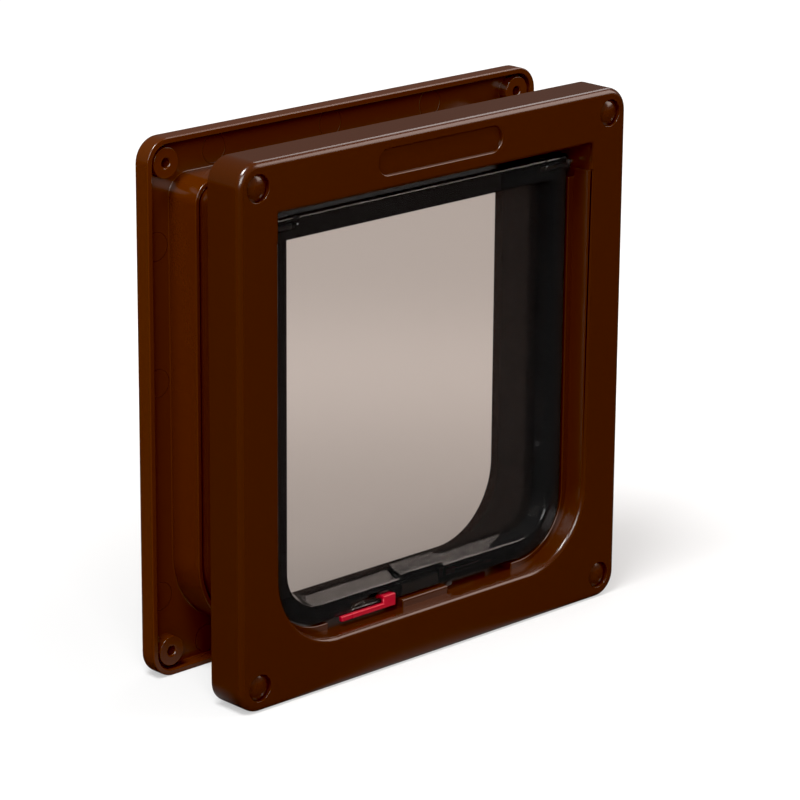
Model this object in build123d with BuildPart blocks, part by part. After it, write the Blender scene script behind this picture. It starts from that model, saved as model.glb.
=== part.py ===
from build123d import *
from math import hypot, radians, tan
import os

os.makedirs("parts", exist_ok=True)

# Cat flap: two frames that clamp a door, a telescoping liner and a two-way swinging flap with lock catches
# Millimetres, +Z up, +Y from the front face into the door, origin under the middle of the whole object

# Frames
frame_width = 198.0
frame_height = 208.0
frame_corner = 9.5
front_depth = 17.0
door_gap = 33.0
rear_depth = 8.4
front_round = 2.5
rear_chamfer = 1.6
front_face_wall = 3.0
front_rim_wall = 2.5
rear_plate_wall = 3.6
rear_rim_wall = 2.3
rib_wall = 1.6
rib_depth = 9.0
rib_pitch = 48.0

# Front opening, seen as the widths of the rails round it
side_rail = 19.0
top_rail = 19.9
bottom_rail = 19.6
opening_corner = 30.0
opening_round = 1.8
opening_draft = 1.0
bay_height = 10.8

# Telescoping liners
front_liner_wall = 2.0
front_liner_length = 33.0
front_liner_drop = 1.7
liner_set_out = 1.0
liner_low_corner = 27.5
liner_high_corner = 4.0
liner_clearance = 0.5
rear_liner_wall = 1.9
rear_liner_reach = 10.6
rear_mouth_chamfer = 2.2

# Draught ridge round the flap and its break on the sill
ridge_side = 3.8
ridge_rise = 2.7
ridge_corner = 24.0
ridge_overlap = 0.1
head_ridge_gap = 0.4
sill_break = 97.0

# Oblong recess and screw caps on the front face
oblong_length = 63.0
oblong_height = 10.0
oblong_depth = 1.0
screw_inset_side = 9.3
screw_inset_end = 9.5
screw_boss_radius = 5.75
screw_hole_radius = 2.1
screw_head_radius = 4.2
screw_head_depth = 7.0
front_boss_recess = 0.5
rear_boss_recess = 0.7
pilot_radius = 1.85
pilot_chamfer = 0.4
pilot_floor = 1.2
cap_radius = 5.15
cap_clearance = 0.1
cap_recess = 2.0
cap_edge = 0.4
cap_crown = 1.6
cap_crown_slope = 60.0
cap_plug_length = 4.0
cap_plug_wall = 1.4

# Flap
flap_setback = 12.75
flap_thickness = 8.5
flap_side_gap = 1.0
flap_sill_gap = 0.9
flap_corner = 22.0
flap_bar_height = 8.6
bar_roof_gap = 5.1
bar_front_round = 1.6
bar_back_round = 0.8
flap_rim = 6.4
flap_foot = 7.4
crest_corner = 16.0
tray_draft = 20.0
pane_thickness = 1.5
pane_back_recess = 0.9
knuckle_radius = 4.2
knuckle_length = 2.3
ridge_top_gap = 0.4

# Flap housing, lug and bar grooves
housing_width = 23.2
housing_rise = 1.8
lug_offset = 13.2
lug_width = 3.3
lug_drop = 2.2
lug_depth = 3.0
lug_root = 0.5
groove_offset = 64.0
groove_width = 0.8
groove_depth = 0.7
groove_height = 3.4

# Hinge pins and their sockets
hinge_drop = 4.6
pin_radius = 1.6
pin_reach = 12.5
pin_running_clearance = 0.08
pin_press_clearance = 0.01
socket_radius = 3.6
socket_length = 4.0

# Magnets and the block on the sill
magnet_length = 19.0
magnet_depth = 5.0
magnet_height = 4.0
magnet_clearance = 0.05
magnet_cover = 1.2
magnet_set_in = 0.2
block_width = 23.8
block_depth = 13.1
block_rise = 3.1
block_round = 0.6

# Lock catches, with heights from the foot of the flap and lengths from the middle of the flap
catch_offset = 15.5
catch_length = 27.9
catch_height = 2.2
catch_thickness = 1.7
catch_drop = 1.6
catch_gap = 0.4
catch_travel = 8.5
thumb_width = 6.3
thumb_height = 5.0
notch_count = 5
notch_pitch = 1.25
notch_width = 0.7
notch_height = 0.9
slide_clearance = 0.3
tongue_length = 5.6
slot_spare = 6.0
tongue_height = 1.6
tongue_rise = 2.4
tongue_head = 0.5
tongue_head_thickness = 1.1
slot_lip = 1.8

# Levels and half-widths that follow from the sizes above
overall_depth = front_depth + door_gap + rear_depth
front_y = -overall_depth / 2
half_width = frame_width / 2
opening_half = half_width - side_rail
sill_z = bottom_rail
opening_top = frame_height - top_rail
shelf_z = opening_top - bay_height
liner_half = opening_half + liner_set_out
liner_floor = sill_z - front_liner_drop
liner_end = front_depth + front_liner_length
rear_liner_gap = front_liner_wall + liner_clearance
rear_liner_out = rear_liner_gap + rear_liner_wall
rear_liner_start = front_depth + door_gap - rear_liner_reach
plate_setback = overall_depth - rear_plate_wall

flap_half_depth = flap_thickness / 2
ridge_front = flap_setback - flap_half_depth - ridge_overlap
ridge_back = flap_setback + flap_half_depth + ridge_overlap
ridge_half = opening_half - ridge_side
ridge_top_of_sill = sill_z + ridge_rise
flap_half = ridge_half - flap_side_gap
flap_foot_z = ridge_top_of_sill + flap_sill_gap
flap_back = flap_setback + flap_half_depth
pane_back = flap_back - pane_back_recess
pane_front = pane_back - pane_thickness
bar_top = opening_top - bar_roof_gap
bar_bottom = bar_top - flap_bar_height
hinge_z = bar_top - hinge_drop
ridge_top = hinge_z - knuckle_radius - ridge_top_gap
head_ridge_z = hinge_z + hypot(flap_half_depth, hinge_drop) + head_ridge_gap
flap_y = front_y + flap_setback

screw_x = half_width - screw_inset_side
screw_low = screw_inset_end
screw_high = frame_height - screw_inset_end
screw_places = {
    "bottom_left": (-screw_x, screw_low),
    "bottom_right": (screw_x, screw_low),
    "top_left": (-screw_x, screw_high),
    "top_right": (screw_x, screw_high),
}


def facing(setback):
    """Upright plane at a distance behind the front face; it looks to the front."""
    return Plane.XZ.offset(-(front_y + setback))


def outline(setback, half, bottom, top, low_corner, high_corner):
    """Upright rectangle with round corners."""
    with BuildSketch(facing(setback)) as shape:
        with Locations((0, (bottom + top) / 2)):
            Rectangle(2 * half, top - bottom)
        fillet(shape.vertices().group_by(Axis.Y)[0], low_corner)
        if high_corner > 0:
            fillet(shape.vertices().group_by(Axis.Y)[-1], high_corner)
    return shape.sketch


def panel(setback, half, bottom, top):
    """Upright rectangle with square corners."""
    with BuildSketch(facing(setback)) as shape:
        with Locations((0, (bottom + top) / 2)):
            Rectangle(2 * half, top - bottom)
    return shape.sketch


def disc(setback, place, radius):
    """Upright round face at one of the screw places."""
    with BuildSketch(facing(setback)) as shape:
        with Locations(place):
            Circle(radius)
    return shape.sketch


def flap_side(turn, distance):
    """Upright plane beside the flap's middle: turn 1 looks to the front, turn -1 to the back."""
    middle = Plane(origin=(0, flap_y, 0), x_dir=(turn, 0, 0), z_dir=(0, -turn, 0))
    return middle.offset(distance)


def block_between(turn, near, far, start, end, bottom, top, mode=Mode.ADD):
    """Block on one side of the flap, between two distances from its middle plane."""
    with BuildSketch(flap_side(turn, near)) as shape:
        with Locations(((start + end) / 2, (bottom + top) / 2)):
            Rectangle(end - start, top - bottom)
    extrude(shape.sketch, amount=far - near, mode=mode)


def liner_outline(setback, grow):
    """Section of the liners, grown outwards from the inside of the front liner."""
    return outline(
        setback,
        liner_half + grow,
        liner_floor - grow,
        opening_top + grow,
        liner_low_corner + grow,
        liner_high_corner + grow,
    )


# Front frame: tray with its throat, hinge bay, draught ridge, sill block and inner liner
with BuildPart() as front_frame:
    section = outline(front_depth, half_width, 0, frame_height, frame_corner, frame_corner)
    extrude(section, amount=front_depth)
    fillet(front_frame.faces().sort_by(Axis.Y)[0].edges(), front_round)
    section = outline(
        front_depth,
        half_width - front_rim_wall,
        front_rim_wall,
        frame_height - front_rim_wall,
        frame_corner - front_rim_wall,
        frame_corner - front_rim_wall,
    )
    extrude(section, amount=front_depth - front_face_wall, mode=Mode.SUBTRACT)

    # Ribs between the rim and the throat
    with BuildSketch(facing(front_face_wall + rib_depth)):
        for step in (-1, 0, 1):
            with Locations((0, frame_height / 2 + step * rib_pitch)):
                Rectangle(frame_width - 2 * front_rim_wall, rib_wall)
            with Locations((step * rib_pitch, frame_height / 2)):
                Rectangle(rib_wall, frame_height - 2 * front_rim_wall)
    extrude(amount=rib_depth)

    # Throat and liner as one block, then opened
    section = liner_outline(liner_end, front_liner_wall)
    extrude(section, amount=liner_end - front_face_wall)
    section = liner_outline(liner_end, 0)
    extrude(section, amount=liner_end - ridge_back, mode=Mode.SUBTRACT)
    throat_back = outline(
        ridge_front, opening_half - opening_draft, sill_z, shelf_z, opening_corner - opening_draft, 0
    )
    throat_front = outline(0, opening_half, sill_z, shelf_z, opening_corner, 0)
    loft([throat_back, throat_front], mode=Mode.SUBTRACT)
    lip = front_frame.faces().sort_by(Axis.Y)[0].inner_wires()[0].edges()
    fillet(lip.sort_by(Axis.Z)[:-1], opening_round)
    section = panel(ridge_front, opening_half, shelf_z, opening_top)
    extrude(section, amount=ridge_front, mode=Mode.SUBTRACT)

    # Window of the ridge, the hinge space over its side posts, and its break on the sill
    section = outline(ridge_back, ridge_half, ridge_top_of_sill, shelf_z, ridge_corner, 0)
    extrude(section, amount=ridge_back - ridge_front, mode=Mode.SUBTRACT)
    section = panel(ridge_back, opening_half, ridge_top, head_ridge_z)
    extrude(section, amount=ridge_back - ridge_front, mode=Mode.SUBTRACT)
    section = panel(ridge_back, sill_break / 2, sill_z, ridge_top_of_sill)
    extrude(section, amount=ridge_back - ridge_front, mode=Mode.SUBTRACT)

    # Magnet block on the sill
    with BuildSketch(Plane.YZ.offset(-block_width / 2)) as block:
        with Locations((flap_y, (liner_floor + sill_z + block_rise) / 2)):
            Rectangle(block_depth, sill_z + block_rise - liner_floor)
        fillet(block.vertices().group_by(Axis.Y)[-1], block_round)
    extrude(amount=block_width)
    with BuildSketch(Plane.XY.offset(liner_floor - front_liner_wall)):
        with Locations((0, flap_y)):
            Rectangle(magnet_length + 2 * magnet_clearance, magnet_depth + 2 * magnet_clearance)
    extrude(amount=sill_z + block_rise - magnet_cover - liner_floor + front_liner_wall, mode=Mode.SUBTRACT)

    # Hinge sockets outside the bay
    for side in (-1, 1):
        with BuildSketch(Plane.YZ.offset(side * (liner_half + front_liner_wall / 2))):
            with Locations((flap_y, hinge_z)):
                Circle(socket_radius)
        extrude(amount=side * (front_liner_wall / 2 + socket_length))
        with BuildSketch(Plane.YZ.offset(side * opening_half)):
            with Locations((flap_y, hinge_z)):
                Circle(pin_radius + pin_press_clearance)
        extrude(amount=side * (liner_set_out + front_liner_wall + socket_length), mode=Mode.SUBTRACT)

    # Screw bosses with their cap recess, head pocket and hole
    with BuildSketch(facing(front_depth - front_boss_recess)):
        with Locations(*screw_places.values()):
            Circle(screw_boss_radius)
    extrude(amount=front_depth - front_boss_recess - front_face_wall)
    with BuildSketch(facing(cap_recess)):
        with Locations(*screw_places.values()):
            Circle(cap_radius + cap_clearance)
    extrude(amount=cap_recess, mode=Mode.SUBTRACT)
    with BuildSketch(facing(screw_head_depth)):
        with Locations(*screw_places.values()):
            Circle(screw_head_radius)
    extrude(amount=screw_head_depth, mode=Mode.SUBTRACT)
    with BuildSketch(facing(front_depth)):
        with Locations(*screw_places.values()):
            Circle(screw_hole_radius)
    extrude(amount=front_depth, mode=Mode.SUBTRACT)

    # Shallow oblong recess in the top rail
    with BuildSketch(facing(oblong_depth)):
        with Locations((0, frame_height - top_rail / 2)):
            SlotOverall(oblong_length, oblong_height)
    extrude(amount=oblong_depth, mode=Mode.SUBTRACT)

front_frame.part.label = "front_frame"
export_step(front_frame.part, "parts/front_frame.step")

# Rear frame: tray towards the door with the outer liner and the screw bosses
with BuildPart() as rear_frame:
    section = outline(overall_depth, half_width, 0, frame_height, frame_corner, frame_corner)
    extrude(section, amount=rear_depth)
    chamfer(rear_frame.faces().sort_by(Axis.Y)[-1].edges(), rear_chamfer)
    section = outline(
        plate_setback,
        half_width - rear_rim_wall,
        rear_rim_wall,
        frame_height - rear_rim_wall,
        frame_corner - rear_rim_wall,
        frame_corner - rear_rim_wall,
    )
    extrude(section, amount=rear_depth - rear_plate_wall, mode=Mode.SUBTRACT)
    section = liner_outline(plate_setback, rear_liner_out)
    extrude(section, amount=plate_setback - rear_liner_start)
    section = liner_outline(overall_depth, rear_liner_gap)
    extrude(section, amount=overall_depth - rear_liner_start, mode=Mode.SUBTRACT)
    chamfer(rear_frame.faces().sort_by(Axis.Y)[-1].inner_wires()[0].edges(), rear_mouth_chamfer)

    # Screw bosses with pilot holes
    with BuildSketch(facing(plate_setback)):
        with Locations(*screw_places.values()):
            Circle(screw_boss_radius)
    extrude(amount=rear_depth - rear_plate_wall - rear_boss_recess)
    with BuildSketch(facing(overall_depth - pilot_floor)):
        with Locations(*screw_places.values()):
            Circle(pilot_radius)
    extrude(amount=rear_depth, mode=Mode.SUBTRACT)
    boss_faces = rear_frame.faces().filter_by(Axis.Y).filter_by(
        lambda face: abs(face.center().Y - front_y - front_depth - door_gap - rear_boss_recess) < pilot_chamfer / 2
    )
    for boss_face in boss_faces:
        chamfer(boss_face.inner_wires()[0].edges(), pilot_chamfer)

rear_frame.part.label = "rear_frame"
export_step(rear_frame.part, "parts/rear_frame.step")

# Flap: thin pane in a thick rim, hinge bar, magnet housing and the two catch slots
with BuildPart() as flap:
    section = outline(flap_back, flap_half, flap_foot_z, bar_top, flap_corner, 0)
    extrude(section, amount=flap_thickness)
    bar_edges = flap.edges().filter_by(Axis.X).group_by(Axis.Z)[-1].sort_by(Axis.Y)
    fillet(bar_edges[0], bar_front_round)
    fillet(flap.edges().filter_by(Axis.X).group_by(Axis.Z)[-1].sort_by(Axis.Y)[-1], bar_back_round)

    # Tray in front of the pane with sloping sides, and the shallow recess behind it
    slope = (pane_front - flap_back + flap_thickness) * tan(radians(tray_draft))
    pane_half = flap_half - flap_rim - slope
    pane_low = flap_foot_z + flap_foot + slope
    pane_high = bar_bottom - slope
    pane_corner = crest_corner - slope
    section = outline(pane_front, pane_half, pane_low, pane_high, pane_corner, 0)
    extrude(section, amount=pane_front - flap_back + flap_thickness, taper=-tray_draft, mode=Mode.SUBTRACT)
    section = outline(flap_back, pane_half, pane_low, pane_high, pane_corner, 0)
    extrude(section, amount=pane_back_recess, mode=Mode.SUBTRACT)

    # Raised housing over the magnet
    with BuildSketch(Plane.YZ.offset(-housing_width / 2)):
        with BuildLine():
            Polyline(
                (flap_y - flap_half_depth, flap_foot_z),
                (flap_y - flap_half_depth, flap_foot_z + flap_foot + housing_rise),
                (front_y + pane_front, pane_low + housing_rise),
                (front_y + pane_front, flap_foot_z),
                close=True,
            )
        make_face()
    extrude(amount=housing_width)
    with BuildSketch(Plane.XY.offset(flap_foot_z)):
        with Locations((0, flap_y)):
            Rectangle(magnet_length + 2 * magnet_clearance, magnet_depth + 2 * magnet_clearance)
    extrude(amount=magnet_height + magnet_set_in, mode=Mode.SUBTRACT)

    # Lug under the foot, beside the sill block
    with BuildSketch(Plane.XY.offset(flap_foot_z + lug_root)):
        with Locations((lug_offset + lug_width / 2, flap_y - flap_half_depth + lug_depth / 2)):
            Rectangle(lug_width, lug_depth)
    extrude(amount=-(lug_root + lug_drop))

    # Round ends of the bar, holes for the pins and a groove near each end
    for side in (-1, 1):
        with BuildSketch(Plane.YZ.offset(side * flap_half)):
            with Locations((flap_y, hinge_z)):
                Circle(knuckle_radius)
        extrude(amount=side * knuckle_length)
        with BuildSketch(Plane.YZ.offset(side * (flap_half + knuckle_length))):
            with Locations((flap_y, hinge_z)):
                Circle(pin_radius + pin_running_clearance)
        extrude(amount=-side * (knuckle_length + pin_reach), mode=Mode.SUBTRACT)
        with BuildSketch(facing(flap_back - flap_thickness + groove_depth)):
            with Locations((side * groove_offset, bar_top - groove_height / 2)):
                Rectangle(groove_width, groove_height)
        extrude(amount=groove_depth, mode=Mode.SUBTRACT)

    # Slots of the lock catches, narrow at the mouth and wider inside, with detent notches over the mouth
    tongue_z = flap_foot_z + tongue_rise
    slot_half = tongue_height / 2 + slide_clearance
    slot_start = -(catch_offset + tongue_length + 2 * slide_clearance + catch_travel + slot_spare)
    slot_deep = flap_half_depth - slot_lip - tongue_head_thickness - 2 * slide_clearance
    for turn in (1, -1):
        block_between(
            turn, slot_deep, flap_half_depth, slot_start, -catch_offset,
            tongue_z - slot_half, tongue_z + slot_half, Mode.SUBTRACT,
        )
        block_between(
            turn, slot_deep, flap_half_depth - slot_lip, slot_start, -catch_offset,
            tongue_z - slot_half - tongue_head, tongue_z + slot_half + tongue_head, Mode.SUBTRACT,
        )
        for notch in range(notch_count):
            place = -(catch_offset + thumb_width + (notch + 1) * notch_pitch)
            block_between(
                turn, flap_half_depth - slot_lip, flap_half_depth, place - notch_width / 2, place + notch_width / 2,
                tongue_z, tongue_z + slot_half + notch_height, Mode.SUBTRACT,
            )

flap.part.label = "flap"
export_step(flap.part, "parts/flap.step")


def lock_catch(turn, name):
    """Sliding catch with a thumb block and a T-shaped tongue in the flap's slot."""
    near = flap_half_depth + catch_gap
    far = near + catch_thickness
    start = -(catch_offset + catch_length)
    low = flap_foot_z - catch_drop
    neck_back = flap_half_depth - slot_lip - slide_clearance
    head_half = tongue_height / 2 + tongue_head
    tongue_end = -(catch_offset + slide_clearance)
    with BuildPart() as catch:
        block_between(turn, near, far, start, -catch_offset, low, low + catch_height)
        block_between(turn, near, far, -(catch_offset + thumb_width), -catch_offset, low, low + thumb_height)
        block_between(
            turn, neck_back, near, tongue_end - tongue_length, tongue_end,
            flap_foot_z + tongue_rise - tongue_height / 2, flap_foot_z + tongue_rise + tongue_height / 2,
        )
        block_between(
            turn, neck_back - tongue_head_thickness, neck_back, tongue_end - tongue_length, tongue_end,
            flap_foot_z + tongue_rise - head_half, flap_foot_z + tongue_rise + head_half,
        )
    catch.part.label = name
    export_step(catch.part, "parts/" + name + ".step")


lock_catch(1, "front_lock_catch")
lock_catch(-1, "rear_lock_catch")

# Hinge pins, pressed into the sockets
for side, word in ((-1, "left"), (1, "right")):
    pin_start = flap_half + knuckle_length - pin_reach
    with BuildPart() as hinge_pin:
        with BuildSketch(Plane.YZ.offset(side * pin_start)):
            with Locations((flap_y, hinge_z)):
                Circle(pin_radius)
        extrude(amount=side * (liner_half + front_liner_wall + socket_length - pin_start))
    hinge_pin.part.label = "hinge_pin_" + word
    export_step(hinge_pin.part, "parts/hinge_pin_" + word + ".step")

# Magnets in the flap's foot and in the sill block
for word, magnet_top in (
    ("flap_magnet", flap_foot_z + magnet_set_in + magnet_height),
    ("sill_magnet", sill_z + block_rise - magnet_cover),
):
    with BuildPart() as magnet:
        with BuildSketch(Plane.XY.offset(magnet_top)):
            with Locations((0, flap_y)):
                Rectangle(magnet_length, magnet_depth)
        extrude(amount=-magnet_height)
    magnet.part.label = word
    export_step(magnet.part, "parts/" + word + ".step")

# Push-in caps over the screw holes: a crowned disc on a cross-shaped plug
for word, place in screw_places.items():
    plug_length = 2 * (screw_head_radius - cap_clearance)
    with BuildPart() as screw_cap:
        crown_foot = cap_recess - cap_edge
        extrude(disc(cap_recess, place, cap_radius), amount=cap_edge)
        extrude(disc(crown_foot, place, cap_radius), amount=cap_crown, taper=cap_crown_slope)
        with BuildSketch(facing(cap_recess)):
            with Locations(place):
                Rectangle(plug_length, cap_plug_wall)
                Rectangle(cap_plug_wall, plug_length)
        extrude(amount=-cap_plug_length)
    screw_cap.part.label = "screw_cap_" + word
    export_step(screw_cap.part, "parts/screw_cap_" + word + ".step")
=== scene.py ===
import bpy
import bmesh
from math import asin, cos, pi, radians, sin
from mathutils import Matrix, Vector


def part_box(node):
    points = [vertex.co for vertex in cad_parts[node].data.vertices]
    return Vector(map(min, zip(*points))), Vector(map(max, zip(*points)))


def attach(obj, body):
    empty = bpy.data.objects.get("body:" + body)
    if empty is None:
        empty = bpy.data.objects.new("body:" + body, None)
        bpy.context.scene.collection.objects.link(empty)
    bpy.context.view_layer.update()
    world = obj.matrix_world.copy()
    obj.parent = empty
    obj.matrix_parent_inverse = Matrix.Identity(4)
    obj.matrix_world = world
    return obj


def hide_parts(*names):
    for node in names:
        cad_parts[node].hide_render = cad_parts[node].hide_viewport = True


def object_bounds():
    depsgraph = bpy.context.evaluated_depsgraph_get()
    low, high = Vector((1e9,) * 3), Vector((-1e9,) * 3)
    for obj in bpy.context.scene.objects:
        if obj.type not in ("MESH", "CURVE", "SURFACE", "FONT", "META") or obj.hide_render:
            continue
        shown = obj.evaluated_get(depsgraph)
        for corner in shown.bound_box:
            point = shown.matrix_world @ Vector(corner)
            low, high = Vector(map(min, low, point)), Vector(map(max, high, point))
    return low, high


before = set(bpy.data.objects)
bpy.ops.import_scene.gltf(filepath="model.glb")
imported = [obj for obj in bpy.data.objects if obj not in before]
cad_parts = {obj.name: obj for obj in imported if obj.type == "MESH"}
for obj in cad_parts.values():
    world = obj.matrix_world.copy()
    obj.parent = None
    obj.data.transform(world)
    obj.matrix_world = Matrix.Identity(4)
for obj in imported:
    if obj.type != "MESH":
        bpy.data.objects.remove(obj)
cadBox = [list(corner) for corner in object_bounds()]
scene = bpy.context.scene
scene.view_settings.view_transform = "Standard"
scene.view_settings.use_curve_mapping = True
scene.view_settings.curve_mapping.black_level = (0.004, 0.004, 0.004)  # deep blacks as in the photograph
print("frame loaded")

toneA, toneB, toneOut = 6, 7, 2  # colour sockets of a mix node
numberA, numberB = 2, 3  # number sockets of a mix node
mergeReach = 2e-6  # points of a CAD mesh closer than this are one


def addNode(tree, kind, **settings):
    node = tree.nodes.new(kind)
    for key, value in settings.items():
        setattr(node, key, value)
    return node


def setInputs(node, values):
    for socket, value in values.items():
        node.inputs[socket].default_value = value


def link(tree, start, startSocket, end, endSocket):
    tree.links.new(start.outputs[startSocket], end.inputs[endSocket])


def opaque(tone):
    return tone + (1.0,)


def newMaterial(name):
    material = bpy.data.materials.new(name)
    material.use_nodes = True
    tree = material.node_tree
    shader = tree.nodes["Principled BSDF"]
    return material, tree, shader


surfaceLook = {
    "driftScale": 14.0, "driftDetail": 3.0, "skinDetail": 2.0,
    "hairScale": 160.0, "hairDetail": 4.0, "hairStretch": (1.0, 1.0, 14.0), "hairTurn": (0.4, 0.7, 0.3),
    "hairRange": (0.66, 0.78), "bumpDepth": 0.0001,
}


def makeMouldedGroup(look):  # slow colour drift, fine skin and sparse hairline scratches
    group = bpy.data.node_groups.new("mouldedSurface", "ShaderNodeTree")
    face = group.interface
    for name in ("Base Tone", "Drift Tone"):
        face.new_socket(name, in_out="INPUT", socket_type="NodeSocketColor")
    for name in ("Gloss", "Gloss Drift", "Skin Size", "Scratch"):
        face.new_socket(name, in_out="INPUT", socket_type="NodeSocketFloat")
    face.new_socket("Tone", in_out="OUTPUT", socket_type="NodeSocketColor")
    for name in ("Roughness", "Height"):
        face.new_socket(name, in_out="OUTPUT", socket_type="NodeSocketFloat")
    inside = addNode(group, "NodeGroupInput")
    outside = addNode(group, "NodeGroupOutput")
    place = addNode(group, "ShaderNodeTexCoord")

    drift = addNode(group, "ShaderNodeTexNoise")  # flow marks of the melt
    setInputs(drift, {"Scale": look["driftScale"], "Detail": look["driftDetail"]})
    link(group, place, "Object", drift, "Vector")
    tone = addNode(group, "ShaderNodeMix", data_type="RGBA")
    link(group, drift, "Fac", tone, "Factor")
    link(group, inside, "Base Tone", tone, toneA)
    link(group, inside, "Drift Tone", tone, toneB)
    link(group, tone, toneOut, outside, "Tone")

    skin = addNode(group, "ShaderNodeTexNoise")  # very fine skin of the tool
    setInputs(skin, {"Detail": look["skinDetail"]})
    link(group, place, "Object", skin, "Vector")
    link(group, inside, "Skin Size", skin, "Scale")

    stretch = addNode(group, "ShaderNodeMapping")  # hairline scratches from handling
    setInputs(stretch, {"Scale": look["hairStretch"], "Rotation": look["hairTurn"]})
    link(group, place, "Object", stretch, "Vector")
    hair = addNode(group, "ShaderNodeTexNoise")
    setInputs(hair, {"Scale": look["hairScale"], "Detail": look["hairDetail"]})
    link(group, stretch, "Vector", hair, "Vector")
    sparse = addNode(group, "ShaderNodeMapRange")
    setInputs(sparse, dict(zip(("From Min", "From Max"), look["hairRange"])))
    link(group, hair, "Fac", sparse, "Value")
    worn = addNode(group, "ShaderNodeMath", operation="MULTIPLY")
    link(group, sparse, "Result", worn, 0)
    link(group, inside, "Scratch", worn, 1)

    spread = addNode(group, "ShaderNodeMath", operation="MULTIPLY_ADD")
    link(group, drift, "Fac", spread, 0)
    link(group, inside, "Gloss Drift", spread, 1)
    link(group, inside, "Gloss", spread, 2)
    rough = addNode(group, "ShaderNodeMath", operation="ADD")
    link(group, spread, 0, rough, 0)
    link(group, worn, 0, rough, 1)
    link(group, rough, 0, outside, "Roughness")
    height = addNode(group, "ShaderNodeMath", operation="SUBTRACT")
    link(group, skin, "Fac", height, 0)
    link(group, worn, 0, height, 1)
    link(group, height, 0, outside, "Height")
    return group


mouldedGroup = makeMouldedGroup(surfaceLook)

# ejector rings: a real groove in the bump, plus painted shade that darkens the tone inside the groove
ejectorLook = {
    "radius": 0.00545, "width": 0.0004, "plate": (0.0245, 0.0275),
    "strength": 0.3, "depth": 0.00012, "ringPaintedShade": 0.3,
    "places": [(side * 0.0915, height) for side in (-1, 1) for height in (0.0307, 0.1143, 0.1666)] + [
        (-0.0635, 0.1990), (-0.0058, 0.1998), (0.0462, 0.1996),
        (-0.0690, 0.0082), (0.0000, 0.0082), (0.0520, 0.0082),
    ],
}


def makeEjectorGroup(look):  # faint ring that an ejector pin leaves on the moulding
    group = bpy.data.node_groups.new("ejectorRing", "ShaderNodeTree")
    group.interface.new_socket("Place", in_out="INPUT", socket_type="NodeSocketVector")
    group.interface.new_socket("Height", in_out="OUTPUT", socket_type="NodeSocketFloat")
    inside = addNode(group, "NodeGroupInput")
    outside = addNode(group, "NodeGroupOutput")
    place = addNode(group, "ShaderNodeTexCoord")
    flat = addNode(group, "ShaderNodeVectorMath", operation="MULTIPLY")  # distance across the plate only
    setInputs(flat, {1: (1.0, 0.0, 1.0)})
    link(group, place, "Object", flat, 0)
    reach = addNode(group, "ShaderNodeVectorMath", operation="DISTANCE")
    link(group, flat, "Vector", reach, 0)
    link(group, inside, "Place", reach, 1)
    off = addNode(group, "ShaderNodeMath", operation="SUBTRACT")
    setInputs(off, {1: look["radius"]})
    link(group, reach, "Value", off, 0)
    size = addNode(group, "ShaderNodeMath", operation="ABSOLUTE")
    link(group, off, 0, size, 0)
    groove = addNode(group, "ShaderNodeMapRange", interpolation_type="SMOOTHSTEP")
    setInputs(groove, {"From Max": look["width"], "To Min": -1.0, "To Max": 0.0})
    link(group, size, 0, groove, "Value")
    link(group, groove, "Result", outside, "Height")
    return group


def addEjectorRings(tree, shader, surface, bump, look):
    ring = makeEjectorGroup(look)
    total = None
    for x, z in look["places"]:
        mark = addNode(tree, "ShaderNodeGroup", node_tree=ring)
        setInputs(mark, {"Place": (x, 0.0, z)})
        if total is None:
            total = mark
            continue
        both = addNode(tree, "ShaderNodeMath", operation="MINIMUM")
        link(tree, total, 0, both, 0)
        link(tree, mark, 0, both, 1)
        total = both
    place = addNode(tree, "ShaderNodeTexCoord")
    split = addNode(tree, "ShaderNodeSeparateXYZ")
    link(tree, place, "Object", split, "Vector")
    onPlate = addNode(tree, "ShaderNodeMath", operation="COMPARE")  # rings lie on the inner face of the plate
    start, end = look["plate"]
    setInputs(onPlate, {1: (start + end) / 2, 2: (end - start) / 2})
    link(tree, split, "Y", onPlate, 0)
    height = addNode(tree, "ShaderNodeMath", operation="MULTIPLY")
    link(tree, total, 0, height, 0)
    link(tree, onPlate, 0, height, 1)
    # painted shade in the ring grooves: the tone is scaled down where a ring sinks
    ringPaintedShade = addNode(tree, "ShaderNodeMath", operation="MULTIPLY_ADD")
    setInputs(ringPaintedShade, {1: look["ringPaintedShade"], 2: 1.0})
    link(tree, height, 0, ringPaintedShade, 0)
    line = addNode(tree, "ShaderNodeVectorMath", operation="SCALE")  # painted shade: the ring groove is drawn a little darker
    link(tree, surface, "Tone", line, 0)
    link(tree, ringPaintedShade, 0, line, "Scale")
    link(tree, line, "Vector", shader, "Base Color")
    rings = addNode(tree, "ShaderNodeBump")
    setInputs(rings, {"Strength": look["strength"], "Distance": look["depth"]})
    link(tree, height, 0, rings, "Height")
    link(tree, bump, "Normal", rings, "Normal")
    link(tree, rings, "Normal", shader, "Normal")


def surfaceMaterial(look):
    material, tree, shader = newMaterial(look["name"])
    surface = addNode(tree, "ShaderNodeGroup", node_tree=mouldedGroup)
    setInputs(surface, {
        "Base Tone": opaque(look["tone"]), "Drift Tone": opaque(look["driftTone"]),
        "Gloss": look["gloss"], "Gloss Drift": look["glossDrift"],
        "Skin Size": look["skinSize"], "Scratch": look["scratch"],
    })
    link(tree, surface, "Tone", shader, "Base Color")
    link(tree, surface, "Roughness", shader, "Roughness")
    bump = addNode(tree, "ShaderNodeBump")
    setInputs(bump, {"Strength": look["bump"], "Distance": surfaceLook["bumpDepth"]})
    link(tree, surface, "Height", bump, "Height")
    link(tree, bump, "Normal", shader, "Normal")
    setInputs(shader, {"IOR": look["ior"]})
    return material, tree, shader, surface, bump


def mouldedMaterial(look, rings=None):
    material, tree, shader, surface, bump = surfaceMaterial(look)
    setInputs(shader, {"Metallic": look["metal"]})
    if rings:
        addEjectorRings(tree, shader, surface, bump, rings)
    return material


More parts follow.
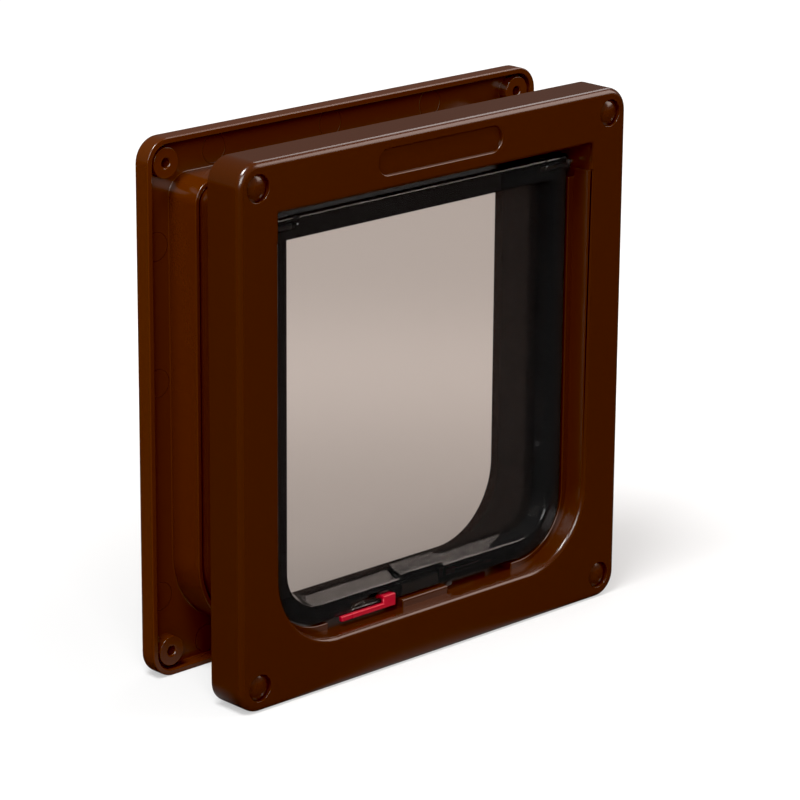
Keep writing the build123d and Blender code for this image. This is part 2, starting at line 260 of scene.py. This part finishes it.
def smokedMaterial(look):
    material, tree, shader = surfaceMaterial(look)[:3]
    setInputs(shader, {"Transmission Weight": look["clear"]})
    smoke = addNode(tree, "ShaderNodeVolumeAbsorption")
    setInputs(smoke, {"Color": opaque(look["absorbTone"]), "Density": look["absorbDensity"]})
    link(tree, smoke, "Volume", tree.nodes["Material Output"], "Volume")
    return material


brownLook = {
    "name": "brownMoulding", "tone": (0.0355, 0.0070, 0.0002), "driftTone": (0.0380, 0.0078, 0.0003),
    "gloss": 0.17, "glossDrift": 0.06, "skinSize": 900.0, "scratch": 0.03, "bump": 0.03,
    "ior": 1.5, "metal": 0.0,
}
# the rear frame is the same brown as the front frame, drawn lighter: painted light that lifts the rear plate
# lying in the shade between the frames
rearPaintedLightLook = {
    "name": "rearPaintedLightMoulding", "tone": (0.0530, 0.0108, 0.0002), "driftTone": (0.0565, 0.0118, 0.0003),
    "gloss": 0.17, "glossDrift": 0.06, "skinSize": 900.0, "scratch": 0.03, "bump": 0.03,
    "ior": 1.5, "metal": 0.0,
}
redLook = {
    "name": "redMoulding", "tone": (0.35, 0.002, 0.016), "driftTone": (0.30, 0.002, 0.013),
    "gloss": 0.24, "glossDrift": 0.08, "skinSize": 1200.0, "scratch": 0.15, "bump": 0.05,
    "ior": 1.5, "metal": 0.0,
}
steelLook = {
    "name": "pinSteel", "tone": (0.52, 0.52, 0.53), "driftTone": (0.42, 0.42, 0.43),
    "gloss": 0.28, "glossDrift": 0.12, "skinSize": 1500.0, "scratch": 0.25, "bump": 0.1,
    "ior": 1.5, "metal": 1.0,
}
magnetLook = {
    "name": "magnetFerrite", "tone": (0.045, 0.045, 0.048), "driftTone": (0.075, 0.074, 0.075),
    "gloss": 0.55, "glossDrift": 0.2, "skinSize": 2200.0, "scratch": 0.1, "bump": 0.5,
    "ior": 1.5, "metal": 0.0,
}
smokeLook = {
    "name": "smokedMoulding", "tone": (1.0, 1.0, 1.0), "driftTone": (0.985, 0.985, 0.985),
    "gloss": 0.012, "glossDrift": 0.012, "skinSize": 60.0, "scratch": 0.05, "bump": 0.001, "ior": 1.45,
    "clear": 0.992, "absorbTone": (0.272, 0.176, 0.113), "absorbDensity": 965.0,
}
brownMoulding = mouldedMaterial(brownLook)
# painted light: a lighter copy of the brown, used for the rear frame
rearPaintedLightMoulding = mouldedMaterial(rearPaintedLightLook, ejectorLook)
redMoulding = mouldedMaterial(redLook)
pinSteel = mouldedMaterial(steelLook)
magnetFerrite = mouldedMaterial(magnetLook)
smokedMoulding = smokedMaterial(smokeLook)
print("materials made")


capNodes = ["screw_cap_" + corner for corner in ("top_left", "top_right", "bottom_left", "bottom_right")]
capPlaces = [(Vector(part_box(node)[0]).xz + Vector(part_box(node)[1]).xz) / 2 for node in capNodes]

edgeLook = {
    "sharpAngle": 34.0, "flatAngle": 0.4, "segments": 3, "widest": 0.002,
    "paneArea": 0.015, "holeReach": 0.0058, "holeRound": 0.00012,
    "faceSlack": 0.0003, "mouthHalfWidth": 0.085, "mouthTop": 0.19, "mouthRound": 0.001,
    "sillTop": 0.06, "sillFade": 0.02, "sillExtra": 0.0007,
}
skins = {
    "front_frame": {"body": "front", "material": brownMoulding, "round": 0.00040, "hollows": False},
    "rear_frame": {"body": "rear", "material": rearPaintedLightMoulding, "round": 0.00040, "hollows": True},
    "flap": {"body": "swing", "material": smokedMoulding, "round": 0.00044, "hollows": False},
    "front_lock_catch": {"body": "front_catch", "material": redMoulding, "round": 0.00048, "hollows": False},
    "rear_lock_catch": {"body": "rear_catch", "material": redMoulding, "round": 0.00048, "hollows": False},
}


def edgeSize(edge, plain):
    middle = (edge.verts[0].co + edge.verts[1].co) / 2
    if any((middle.xz - hole).length < edgeLook["holeReach"] for hole in capPlaces):
        return edgeLook["holeRound"]  # cap holes and screw bosses are nearly sharp
    inFace = all(abs(vert.co.y - cadBox[0][1]) < edgeLook["faceSlack"] for vert in edge.verts)
    if inFace and abs(middle.x) < edgeLook["mouthHalfWidth"] and middle.z < edgeLook["mouthTop"]:
        low = min(max((edgeLook["sillTop"] - middle.z) / edgeLook["sillFade"], 0.0), 1.0)
        return edgeLook["mouthRound"] + edgeLook["sillExtra"] * low  # the mouth is rounder along the sill
    return plain


def newPiece(name, mesh, material):
    if "custom_normal" in mesh.attributes:
        mesh.attributes.remove(mesh.attributes["custom_normal"])
    mesh.materials.clear()
    mesh.materials.append(material)
    piece = bpy.data.objects.new(name, mesh)
    scene.collection.objects.link(piece)
    return piece


def mouldedCopy(node, look):  # a merged copy of a CAD node with soft shading and small edge rounds
    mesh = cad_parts[node].data.copy()
    mesh.name = node + "Skin"
    work = bmesh.new()
    work.from_mesh(mesh)
    bmesh.ops.remove_doubles(work, verts=work.verts, dist=mergeReach)
    flatAngle = radians(edgeLook["flatAngle"])
    bmesh.ops.dissolve_limit(work, angle_limit=flatAngle, verts=work.verts, edges=work.edges)
    for poly in work.faces:
        poly.smooth = True
    weights = work.edges.layers.float.new("bevel_weight_edge")
    for edge in work.edges:
        turned = edge.calc_face_angle(0.0) > radians(edgeLook["sharpAngle"])
        edge.smooth = not turned
        largest = max(face.calc_area() for face in edge.link_faces)
        broad = largest > edgeLook["paneArea"]  # the pane stays crisp
        if turned and not broad and (edge.is_convex or look["hollows"]):
            edge[weights] = edgeSize(edge, look["round"]) / edgeLook["widest"]
    work.to_mesh(mesh)
    work.free()
    piece = newPiece(node + "Skin", mesh, look["material"])
    bevel = piece.modifiers.new("edgeRound", "BEVEL")
    bevel.width = edgeLook["widest"]
    bevel.segments = edgeLook["segments"]
    bevel.use_clamp_overlap = False
    bevel.limit_method = "WEIGHT"
    settle = piece.modifiers.new("evenShading", "WEIGHTED_NORMAL")
    settle.keep_sharp = True
    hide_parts(node)
    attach(piece, look["body"])


for node, look in skins.items():
    mouldedCopy(node, look)

keptNodes = {
    "flap_magnet": magnetFerrite, "sill_magnet": magnetFerrite,
    "hinge_pin_left": pinSteel, "hinge_pin_right": pinSteel,
}
for node, material in keptNodes.items():
    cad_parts[node].data.materials.clear()
    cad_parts[node].data.materials.append(material)

capLook = {
    "radius": 0.00515, "dome": 0.0016, "skirt": 0.0004, "rings": 7, "steps": 48,
    "plugGap": 1e-5, "joinReach": 1e-6, "sharpAngle": 40.0,
}


def capProfile(look):  # half section of the dome, from its crown to its seat
    radius, dome, rings = look["radius"], look["dome"], look["rings"]
    ball = (radius ** 2 + dome ** 2) / (2 * dome)
    swing = asin(radius / ball)
    points = [(0.0, -dome)]
    for ring in range(1, rings + 1):
        turn = swing * ring / rings
        points.append((ball * sin(turn), -dome + ball * (1 - cos(turn))))
    points.append((radius, look["skirt"]))
    points.append((0.0, look["skirt"]))
    return points


def makeCap(node, look):  # the plug of the CAD cap with a round dome spun about its axis
    low, high = (Vector(corner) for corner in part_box(node))
    middle = (low + high) / 2
    seat = low.y + look["dome"]
    shape = bmesh.new()
    shape.from_mesh(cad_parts[node].data)
    bmesh.ops.remove_doubles(shape, verts=shape.verts, dist=mergeReach)
    everything = shape.verts[:] + shape.edges[:] + shape.faces[:]
    plugStart = (0, seat + look["skirt"] + look["plugGap"], 0)
    cut = bmesh.ops.bisect_plane(
        shape, geom=everything, plane_co=plugStart, plane_no=(0, 1, 0), clear_inner=True)
    loose = [item for item in cut["geom_cut"] if isinstance(item, bmesh.types.BMEdge)]
    bmesh.ops.holes_fill(shape, edges=loose, sides=0)
    profile = capProfile(look)
    line = [shape.verts.new((middle.x + out, seat + depth, middle.z)) for out, depth in profile]
    edges = [shape.edges.new(pair) for pair in zip(line, line[1:])]
    bmesh.ops.spin(
        shape, geom=line + edges, cent=(middle.x, 0, middle.z), axis=(0, 1, 0),
        angle=2 * pi, steps=look["steps"], use_merge=True)
    bmesh.ops.remove_doubles(shape, verts=shape.verts, dist=look["joinReach"])
    bmesh.ops.recalc_face_normals(shape, faces=shape.faces)
    for poly in shape.faces:
        poly.smooth = True
    for edge in shape.edges:
        edge.smooth = edge.calc_face_angle(0.0) < radians(look["sharpAngle"])
    mesh = bpy.data.meshes.new(node + "Dome")
    shape.to_mesh(mesh)
    shape.free()
    piece = newPiece(node + "Dome", mesh, brownMoulding)
    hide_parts(node)
    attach(piece, "front")


for node in capNodes:
    makeCap(node, capLook)
print("pieces dressed")


studio = {
    "floorSize": 6.0, "floorRoughness": 0.9, "floorTone": (0.32, 0.32, 0.32),
    "mirroredFloor": (0.01, 0.01, 0.01), "bouncedFloor": (0.45, 0.45, 0.45),
    "footScale": (8.5, 25.0, 0.0), "footEdge": 0.8, "footDark": 0.4,
    "paleSideX": (0.15, 0.25), "paleSideY": (-0.03, 0.04),
    "glowStart": 0.1, "glowEnd": 0.4, "glow": (0.45, 0.82),
    "behindStart": 0.28, "behindEnd": 0.55, "behind": (1.86, 1.43),
    "worldTone": (1.0, 0.94, 0.89), "worldPower": 0.25, "mirroredWorld": 0.12,
}


def mirroredRay(tree):  # one for a mirrored ray, unless it has passed through the flap
    ray = addNode(tree, "ShaderNodeLightPath")
    mirrored = addNode(tree, "ShaderNodeMath", operation="SUBTRACT", use_clamp=True)
    link(tree, ray, "Is Glossy Ray", mirrored, 0)
    link(tree, ray, "Is Transmission Ray", mirrored, 1)
    return mirrored


def addFade(tree, source, socket, start, end, values):  # a smooth change of value with distance
    fade = addNode(tree, "ShaderNodeMapRange", interpolation_type="SMOOTHSTEP")
    setInputs(fade, {"From Min": start, "From Max": end, "To Min": values[0], "To Max": values[1]})
    link(tree, source, socket, fade, "Value")
    return fade


def addFloorTone(tree, shader, place, ray):
    tone = addNode(tree, "ShaderNodeMix", data_type="RGBA")  # pale to the eye, dark in reflections
    setInputs(tone, {toneA: opaque(studio["floorTone"]), toneB: opaque(studio["mirroredFloor"])})
    foot = addNode(tree, "ShaderNodeMapping")  # only the floor close by shows in the lowest edges
    setInputs(foot, {"Scale": studio["footScale"]})
    link(tree, place, "Object", foot, "Vector")
    near = addNode(tree, "ShaderNodeVectorMath", operation="LENGTH")
    link(tree, foot, "Vector", near, 0)
    away = addFade(tree, near, "Value", studio["footEdge"], 1.0, (studio["footDark"], 1.0))
    split = addNode(tree, "ShaderNodeSeparateXYZ")  # nor is it dark to the right and behind
    link(tree, place, "Object", split, "Vector")
    side = addNode(tree, "ShaderNodeMath", operation="MULTIPLY")
    for slot, axis in enumerate("XY"):
        beyond = addNode(tree, "ShaderNodeMapRange")
        setInputs(beyond, dict(zip(("From Min", "From Max"), studio["paleSide" + axis])))
        link(tree, split, axis, beyond, "Value")
        link(tree, beyond, "Result", side, slot)
    closed = addNode(tree, "ShaderNodeMath", operation="SUBTRACT", use_clamp=True)
    link(tree, away, "Result", closed, 0)
    link(tree, side, 0, closed, 1)
    dark = addNode(tree, "ShaderNodeMath", operation="MULTIPLY")
    link(tree, mirroredRay(tree), 0, dark, 0)
    link(tree, closed, 0, dark, 1)
    link(tree, dark, 0, tone, 0)
    bounce = addNode(tree, "ShaderNodeMix", data_type="RGBA")  # a tone of its own where it lights the object
    setInputs(bounce, {toneB: opaque(studio["bouncedFloor"])})
    link(tree, ray, "Is Diffuse Ray", bounce, 0)
    link(tree, tone, toneOut, bounce, toneA)
    link(tree, bounce, toneOut, shader, "Base Color")


def addBackdrop(tree, shader, place, ray):  # the far floor is lit up as a backdrop
    reach = addNode(tree, "ShaderNodeVectorMath", operation="LENGTH")
    link(tree, place, "Object", reach, 0)
    glow = addFade(tree, reach, "Value", studio["glowStart"], studio["glowEnd"], studio["glow"])
    behind = addFade(tree, reach, "Value", studio["behindStart"], studio["behindEnd"], studio["behind"])
    passed = addNode(tree, "ShaderNodeMath", operation="MULTIPLY")  # and more behind the dense smoke
    link(tree, ray, "Is Transmission Ray", passed, 0)
    link(tree, behind, "Result", passed, 1)
    seen = addNode(tree, "ShaderNodeMath", operation="ADD")
    link(tree, ray, "Is Camera Ray", seen, 0)
    link(tree, passed, 0, seen, 1)
    backdrop = addNode(tree, "ShaderNodeMath", operation="MULTIPLY")
    link(tree, glow, "Result", backdrop, 0)
    link(tree, seen, 0, backdrop, 1)
    setInputs(shader, {"Emission Color": (1.0, 1.0, 1.0, 1.0)})
    link(tree, backdrop, 0, shader, "Emission Strength")


def makeFloor():
    shape = bmesh.new()
    bmesh.ops.create_grid(shape, x_segments=1, y_segments=1, size=studio["floorSize"])
    mesh = bpy.data.meshes.new("floor")
    shape.to_mesh(mesh)
    shape.free()
    floor = bpy.data.objects.new("floor", mesh)
    scene.collection.objects.link(floor)
    material, tree, shader = newMaterial("floorPaper")
    setInputs(shader, {"Roughness": studio["floorRoughness"], "Specular IOR Level": 0.0})
    place = addNode(tree, "ShaderNodeTexCoord")
    ray = addNode(tree, "ShaderNodeLightPath")
    addFloorTone(tree, shader, place, ray)
    addBackdrop(tree, shader, place, ray)
    mesh.materials.append(material)


def makeWorld():
    world = bpy.data.worlds.new("studioWorld")
    scene.world = world
    world.use_nodes = True
    tree = world.node_tree
    background = tree.nodes["Background"]
    setInputs(background, {"Color": opaque(studio["worldTone"])})
    power = addNode(tree, "ShaderNodeMix", data_type="FLOAT")  # dimmer in reflections
    setInputs(power, {numberA: studio["worldPower"], numberB: studio["mirroredWorld"]})
    link(tree, mirroredRay(tree), 0, power, 0)
    link(tree, power, 0, background, "Strength")


lights = {
    "keySoftbox": {
        "place": (-0.6, -0.2, 1.45), "aim": (0.0, 0.0, 0.08), "size": 0.5, "power": 29.5,
        "tone": (1.0, 1.0, 1.0),
    },
    "leftFill": {
        "place": (-1.1, -1.3, 0.95), "aim": (0.0, 0.0, 0.1), "size": 0.9, "power": 24.0,
        "tone": (1.0, 1.0, 1.0),
    },
    "rightPanel": {
        "place": (1.0, -0.68, 0.85), "aim": (0.0, 0.0, 0.1), "size": 0.85, "power": 10.0,
        "tone": (1.0, 0.84, 0.77),
    },
    "backPanel": {
        "place": (1.05, 0.5, 1.15), "aim": (0.0, 0.0, 0.1), "size": 0.6, "power": 3.4,
        "tone": (0.96, 0.95, 0.94),
    },
}


def makeLight(name, look):
    lamp = bpy.data.lights.new(name, "AREA")
    lamp.shape = "RECTANGLE"
    lamp.size = look["size"]
    lamp.size_y = look["size"]
    lamp.energy = look["power"]
    lamp.color = look["tone"]
    place = Vector(look["place"])
    holder = bpy.data.objects.new(name, lamp)
    holder.location = place
    holder.rotation_euler = (Vector(look["aim"]) - place).to_track_quat("-Z", "Y").to_euler()
    scene.collection.objects.link(holder)


cameraLook = {
    "azimuth": -43.434, "elevation": 17.519, "roll": 0.464, "distance": 1.34081,
    "aim": (-0.020264, -0.0292, 0.10601), "lens": 162.17, "sensor": 36.0,
}


def makeCamera(look):
    azimuth, elevation, roll = (radians(look[key]) for key in ("azimuth", "elevation", "roll"))
    back = Vector((sin(azimuth) * cos(elevation), -cos(azimuth) * cos(elevation), sin(elevation)))
    right = Vector((cos(azimuth), sin(azimuth), 0.0))
    up = back.cross(right)
    turnedRight = right * cos(roll) + up * sin(roll)
    turnedUp = up * cos(roll) - right * sin(roll)
    place = Vector(look["aim"]) + back * look["distance"]
    lens = bpy.data.cameras.new("photoCamera")
    lens.lens = look["lens"]
    lens.sensor_width = look["sensor"]
    holder = bpy.data.objects.new("photoCamera", lens)
    turn = Matrix((turnedRight, turnedUp, back)).transposed().to_4x4()
    holder.matrix_world = Matrix.Translation(place) @ turn
    scene.collection.objects.link(holder)
    scene.camera = holder


makeFloor()
makeWorld()
for name, look in lights.items():
    makeLight(name, look)
makeCamera(cameraLook)
print("studio set")
